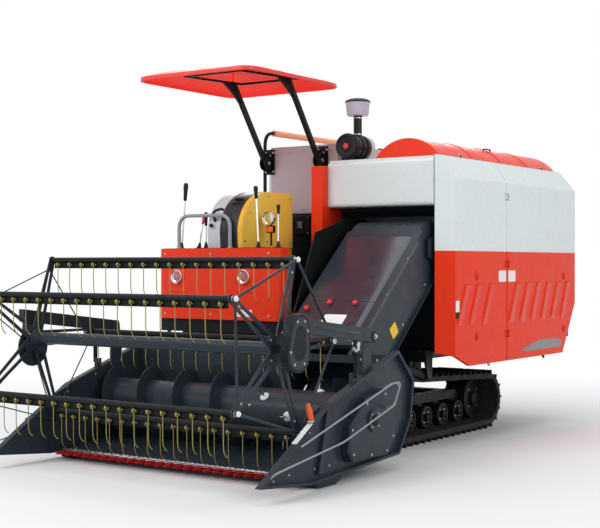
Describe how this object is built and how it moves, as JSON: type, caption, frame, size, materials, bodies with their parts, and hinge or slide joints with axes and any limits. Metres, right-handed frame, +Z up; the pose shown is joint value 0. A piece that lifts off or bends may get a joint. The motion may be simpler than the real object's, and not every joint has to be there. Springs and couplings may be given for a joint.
{
  "type": "crawler combine harvester",
  "caption": "Compact rice and wheat combine on rubber crawler tracks: cutting header with tined reel, feeder house, thresher body, grain tank and open driver's platform under a canopy.",
  "frame": {"origin": "on the ground under the middle of the whole machine with the header on its skids", "axes": "+X to the machine's left, +Y to its rear, +Z up; it drives towards -Y"},
  "size_m": [2.3, 4.7039, 2.7],
  "materials": {
    "rubber_track": "matt moulded rubber",
    "dark_metal": "satin black paint",
    "frame_black": "satin black paint",
    "body_dark": "satin dark grey paint",
    "body_white": "gloss off-white paint",
    "body_red": "gloss orange-red paint",
    "tank_grey": "satin grey paint",
    "lamp": "clear lens",
    "engine": "painted casting",
    "seat_vinyl": "black vinyl",
    "console_yellow": "satin yellow paint",
    "steel": "bare steel",
    "canopy_plastic": "red moulded plastic",
    "intake_plastic": "black moulded plastic",
    "header_grey": "satin blue-grey paint",
    "guard_red": "dark red paint",
    "reel_bar": "satin black paint"
  },
  "bodies": {
    "chassis": {"air_intake": "intake_plastic", "canopy_posts": "frame_black", "canopy_roof": "canopy_plastic", "console": "console_yellow", "controls": "steel", "engine_block": "engine", "engine_cover": "body_dark", "front_beam": "body_white", "front_hood": "body_red", "front_post": "body_red", "grain_tank": "tank_grey", "lamps": "lamp", "main_frame": "frame_black", "platform": "frame_black", "running_gear_left": "dark_metal", "running_gear_right": "dark_metal", "seat": "seat_vinyl", "straw_hood": "body_dark", "tank_cover": "tank_grey", "tank_rail": "frame_black", "thresher_case": "body_dark", "top_deck": "body_white", "track_frame_left": "frame_black", "track_frame_right": "frame_black", "track_left": "rubber_track", "track_right": "rubber_track", "unload_column": "tank_grey"},
    "door_front": {"door_front": "body_red"},
    "door_rear": {"door_rear": "body_red"},
    "drum_cover": {"drum_cover": "body_red"},
    "unload_boom": {"unload_boom": "body_red"},
    "header": {"cutter_bar": "guard_red", "divider_left": "header_grey", "divider_right": "header_grey", "feeder_house": "header_grey", "header_pan": "header_grey", "knife": "steel"},
    "auger": {"auger": "header_grey"},
    "reel_arms": {"reel_arms": "header_grey"},
    "reel": {"reel_rotor": "header_grey"},
    "tine_ring": {"tine_ring": "header_grey"},
    "lift_barrel": {"lift_barrel": "frame_black"},
    "lift_rod": {"lift_rod": "steel"},
    "reel_barrels": {"reel_barrel_left": "frame_black", "reel_barrel_right": "frame_black"},
    "reel_rods": {"reel_rod_left": "steel", "reel_rod_right": "steel"},
    "tine_bar_1": {"reel_bar_1": "reel_bar"},
    "tine_bar_2": {"reel_bar_2": "reel_bar"},
    "tine_bar_3": {"reel_bar_3": "reel_bar"},
    "tine_bar_4": {"reel_bar_4": "reel_bar"},
    "tine_bar_5": {"reel_bar_5": "reel_bar"}
  },
  "joints": [
    {"name": "door_front_hinge", "type": "hinge", "parent": "chassis", "child": "door_front", "pos_m": [0.9375, 1.0125, 1.28], "axis": [0, 0, 1], "range_deg": [0, 80]},
    {"name": "door_rear_hinge", "type": "hinge", "parent": "chassis", "child": "door_rear", "pos_m": [0.9375, 1.0435, 1.28], "axis": [0, 0, -1], "range_deg": [0, 80]},
    {"name": "drum_cover_hinge", "type": "hinge", "parent": "chassis", "child": "drum_cover", "pos_m": [0.3, 1.2, 2.044], "axis": [0, -1, 0], "range_deg": [0, 60]},
    {"name": "unload_swing", "type": "hinge", "parent": "chassis", "child": "unload_boom", "pos_m": [-0.8, 2.262, 2.04], "axis": [0, 0, 1], "range_deg": [0, 180]},
    {"name": "header_lift", "type": "hinge", "parent": "chassis", "child": "header", "pos_m": [0.525, 0.11, 1.387], "axis": [-1, 0, 0], "range_deg": [0, 22]},
    {"name": "auger_spin", "type": "hinge", "parent": "header", "child": "auger", "pos_m": [0, -1.105, 0.345], "axis": [1, 0, 0], "continuous": true},
    {"name": "reel_lift", "type": "hinge", "parent": "header", "child": "reel_arms", "pos_m": [0, -1.085, 0.845], "axis": [-1, 0, 0], "range_deg": [0, 16]},
    {"name": "reel_spin", "type": "hinge", "parent": "reel_arms", "child": "reel", "pos_m": [0, -1.9, 0.81], "axis": [1, 0, 0], "continuous": true},
    {"name": "ring_spin", "type": "hinge", "parent": "reel_arms", "child": "tine_ring", "pos_m": [0, -1.9, 0.75], "axis": [1, 0, 0], "continuous": true},
    {"name": "lift_barrel_swing", "type": "hinge", "parent": "chassis", "child": "lift_barrel", "pos_m": [0.725, 0.16, 0.5], "axis": [-1, 0, 0], "range_deg": [0, 12.3]},
    {"name": "lift_rod_slide", "type": "slide", "parent": "lift_barrel", "child": "lift_rod", "axis": [0, -0.9659, 0.2587], "range_m": [0, 0.3154]},
    {"name": "reel_barrel_swing", "type": "hinge", "parent": "header", "child": "reel_barrels", "pos_m": [0, -1.255, 0.62], "axis": [1, 0, 0], "range_deg": [0, 2.02]},
    {"name": "reel_rod_slide", "type": "slide", "parent": "reel_barrels", "child": "reel_rods", "axis": [0, 0, 1], "range_m": [0, 0.0514]},
    {"name": "tine_bar_1_turn", "type": "hinge", "parent": "reel", "child": "tine_bar_1", "pos_m": [0, -2.32695, 1.09798], "axis": [1, 0, 0], "continuous": true},
    {"name": "tine_bar_2_turn", "type": "hinge", "parent": "reel", "child": "tine_bar_2", "pos_m": [0, -2.30583, 0.49293], "axis": [1, 0, 0], "continuous": true},
    {"name": "tine_bar_3_turn", "type": "hinge", "parent": "reel", "child": "tine_bar_3", "pos_m": [0, -1.72386, 0.32606], "axis": [1, 0, 0], "continuous": true},
    {"name": "tine_bar_4_turn", "type": "hinge", "parent": "reel", "child": "tine_bar_4", "pos_m": [0, -1.38531, 0.82797], "axis": [1, 0, 0], "continuous": true},
    {"name": "tine_bar_5_turn", "type": "hinge", "parent": "reel", "child": "tine_bar_5", "pos_m": [0, -1.75805, 1.30505], "axis": [1, 0, 0], "continuous": true}
  ],
  "couplings": [
    {"joint": "ring_spin", "follows": "reel_spin", "ratio": 1},
    {"joint": "lift_barrel_swing", "follows": "header_lift", "ratio": 0.51347},
    {"joint": "lift_rod_slide", "follows": "header_lift", "m_per_rad": 0.81098},
    {"joint": "reel_barrel_swing", "follows": "reel_lift", "ratio": 0.06362},
    {"joint": "reel_rod_slide", "follows": "reel_lift", "m_per_rad": 0.17334},
    {"joint": "tine_bar_1_turn", "follows": "reel_spin", "ratio": -1},
    {"joint": "tine_bar_2_turn", "follows": "reel_spin", "ratio": -1},
    {"joint": "tine_bar_3_turn", "follows": "reel_spin", "ratio": -1},
    {"joint": "tine_bar_4_turn", "follows": "reel_spin", "ratio": -1},
    {"joint": "tine_bar_5_turn", "follows": "reel_spin", "ratio": -1}
  ]
}
